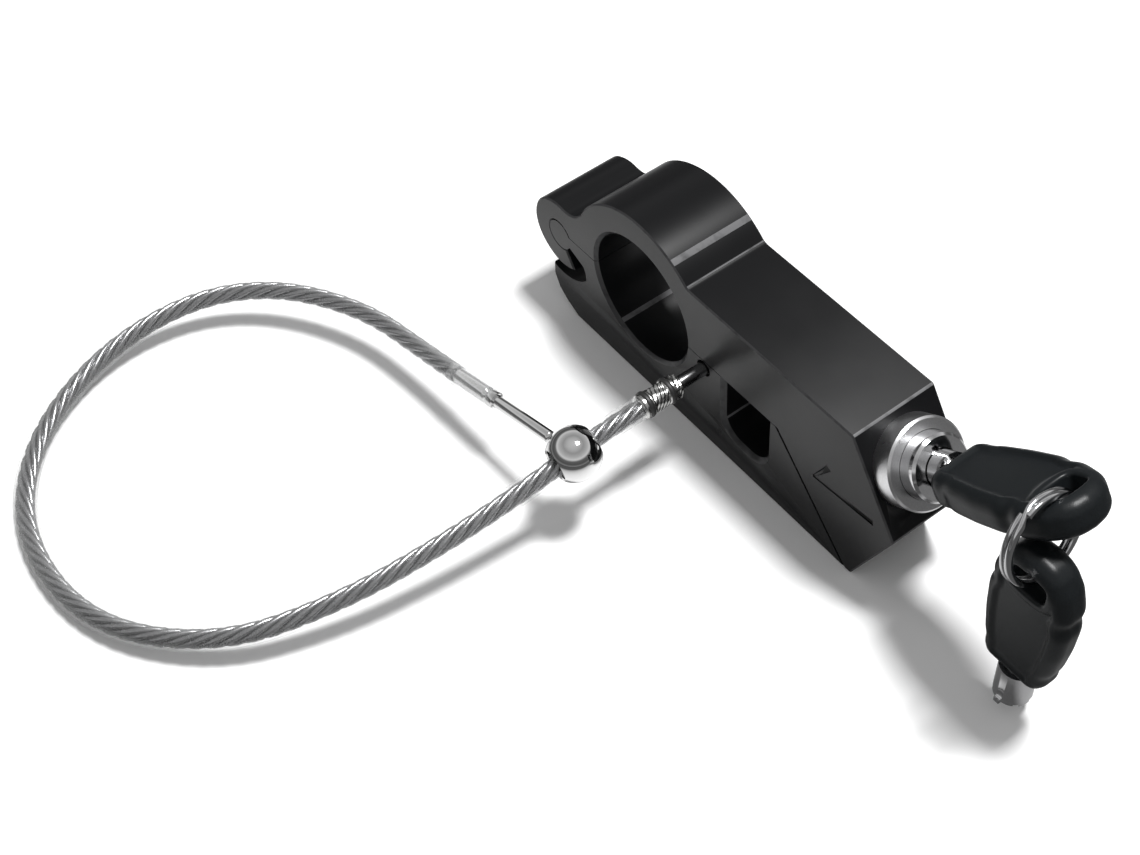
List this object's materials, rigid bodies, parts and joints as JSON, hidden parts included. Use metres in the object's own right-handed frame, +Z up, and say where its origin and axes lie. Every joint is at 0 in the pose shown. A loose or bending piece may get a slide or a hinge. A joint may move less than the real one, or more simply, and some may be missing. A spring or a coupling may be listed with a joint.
{
  "type": "handlebar grip and brake lever lock",
  "caption": "Hinged clamp that locks round a handlebar grip and its brake lever, with a push-in key lock, keys on a ring and a wire rope noose.",
  "frame": {"origin": "centre of the grip bore, half way across the clamp's width", "axes": "+X from the hinge to the key end, +Y along the grip bore towards the rear face, +Z up from the flat base"},
  "size_m": [0.2346, 0.179, 0.0717],
  "materials": {
    "black_anodised": "satin black anodised extrusion",
    "chrome_brass": "bright nickel chrome plate",
    "brass": "turned brass",
    "steel": "turned and ground steel",
    "spring_steel": "spring steel wire",
    "key_plastic": "moulded black plastic, fine grain",
    "steel_rope": "twisted steel strands",
    "clear_sleeve": "clear soft vinyl",
    "crimp_metal": "pressed aluminium",
    "black_rubber": "black rubber",
    "polished_ball": "polished steel"
  },
  "bodies": {
    "jaw": {"lower_jaw": "black_anodised", "bolt_bush": "steel", "rope_stud": "steel", "stud_crimp": "crimp_metal", "crimp_rings": "black_rubber", "wire_rope": "steel_rope", "rope_sleeve": "clear_sleeve", "end_crimp": "crimp_metal", "sleeve_cuff": "clear_sleeve", "ball_shank": "steel", "noose_ball": "polished_ball"},
    "clamp": {"upper_body": "black_anodised", "lock_housing": "chrome_brass", "housing_grub_screw": "steel", "return_spring": "spring_steel"},
    "core": {"core_barrel": "chrome_brass", "stator": "brass", "stator_pin": "steel", "driver_pins": "brass", "pin_springs": "spring_steel", "locking_bolt": "steel"},
    "rotor": {"rotor": "brass", "key_pins": "brass", "shaft_clip": "steel"},
    "latch": {"latch_plate": "steel"},
    "key": {"key_tube": "chrome_brass", "key_head": "key_plastic"},
    "ring": {"split_ring": "steel"},
    "spare_key": {"spare_key_tube": "chrome_brass", "spare_key_head": "key_plastic"}
  },
  "joints": [
    {"name": "jaw_hinge", "type": "hinge", "parent": "jaw", "child": "clamp", "pos_m": [-0.0335, 0, -0.003], "axis": [0, -1, 0], "range_deg": [0, 34]},
    {"name": "core_push", "type": "slide", "parent": "clamp", "child": "core", "axis": [-0.8387, 0, -0.5446], "range_m": [0, 0.006], "stiffness_N_per_m": 800, "springref_m": -0.006, "deforming": ["return_spring"]},
    {"name": "key_turn", "type": "hinge", "parent": "core", "child": "rotor", "pos_m": [0.08269, 0, 0.00783], "axis": [0.8387, 0, 0.5446], "range_deg": [-90, 0]},
    {"name": "latch_slide", "type": "slide", "parent": "core", "child": "latch", "axis": [0, 1, 0], "range_m": [0, 0.00091]},
    {"name": "key_pull", "type": "slide", "parent": "rotor", "child": "key", "axis": [0.8387, 0, 0.5446], "range_m": [0, 0.012]},
    {"name": "ring_spin", "type": "hinge", "parent": "key", "child": "ring", "pos_m": [0.1246, -0.00765, 0.03097], "axis": [0.9744, 0, 0.225], "range_deg": [-20, 20]},
    {"name": "spare_swing", "type": "hinge", "parent": "ring", "child": "spare_key", "pos_m": [0.12687, -0.00765, 0.02113], "axis": [0, 1, 0], "range_deg": [-15, 15]}
  ],
  "couplings": [
    {"joint": "latch_slide", "follows": "key_turn", "m_per_rad": -0.000573}
  ]
}
